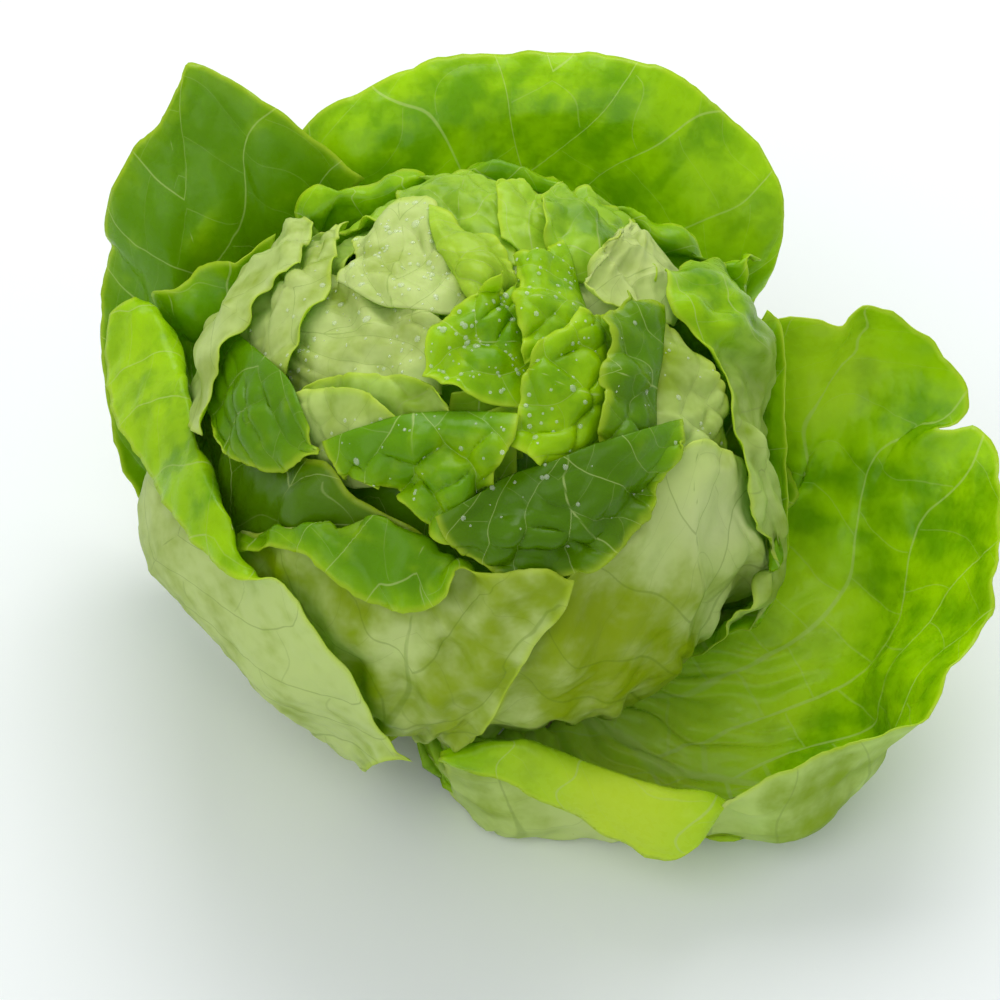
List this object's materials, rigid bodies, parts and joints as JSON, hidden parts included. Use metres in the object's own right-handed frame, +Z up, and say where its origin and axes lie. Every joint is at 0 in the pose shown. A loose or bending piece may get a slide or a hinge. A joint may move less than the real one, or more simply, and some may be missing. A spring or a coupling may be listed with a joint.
{
  "type": "butterhead lettuce",
  "caption": "Loose butterhead lettuce with a rounded leafy heart, spread wrapper leaves and a cut stem that it rests on.",
  "frame": {"origin": "centre of the cut stem's flat face, on the table", "axes": "+Z up; the head's front, where the rolled wrapper flap lies, faces -Y; the big torn wrapper leaf is on +X"},
  "size_m": [0.2353, 0.1867, 0.1446],
  "materials": {
    "leaf_green": "fresh leaf, soft sheen",
    "leaf_bright": "fresh leaf, soft sheen",
    "leaf_pale": "leaf underside, soft sheen",
    "stem_white": "cut stem, moist"
  },
  "bodies": {
    "root": {"head_leaf_back": "leaf_green", "head_leaf_front": "leaf_pale", "head_leaf_front_bright": "leaf_bright", "head_leaf_front_right": "leaf_pale", "head_leaf_left": "leaf_pale", "head_leaf_left_front": "leaf_green", "head_leaf_left_pocket": "leaf_bright", "head_leaf_right": "leaf_pale", "heart": "leaf_green", "inner_leaf_back": "leaf_bright", "inner_leaf_back_left": "leaf_green", "inner_leaf_back_right": "leaf_green", "inner_leaf_curl_back": "leaf_pale", "inner_leaf_droplet_back": "leaf_pale", "inner_leaf_droplet_middle": "leaf_bright", "inner_leaf_left_low": "leaf_pale", "inner_leaf_left_olive": "leaf_green", "inner_leaf_left_round": "leaf_pale", "inner_leaf_left_triangle": "leaf_pale", "inner_leaf_middle": "leaf_bright", "inner_leaf_middle_front": "leaf_bright", "inner_leaf_narrow_fold": "leaf_green", "inner_leaf_pocket": "leaf_bright", "inner_leaf_right": "leaf_pale", "inner_leaf_top": "leaf_pale", "inner_leaf_top_back": "leaf_pale", "inner_leaf_top_right": "leaf_bright", "inner_leaf_yellow_fold": "leaf_bright", "stem": "stem_white", "wrapper_leaf_back": "leaf_green", "wrapper_leaf_back_low": "leaf_green", "wrapper_leaf_front_right": "leaf_bright", "wrapper_leaf_left_back": "leaf_green", "wrapper_leaf_left_front": "leaf_pale", "wrapper_leaf_left_inner": "leaf_green", "wrapper_leaf_right": "leaf_green", "wrapper_leaf_right_upright": "leaf_green"}
  },
  "joints": []
}
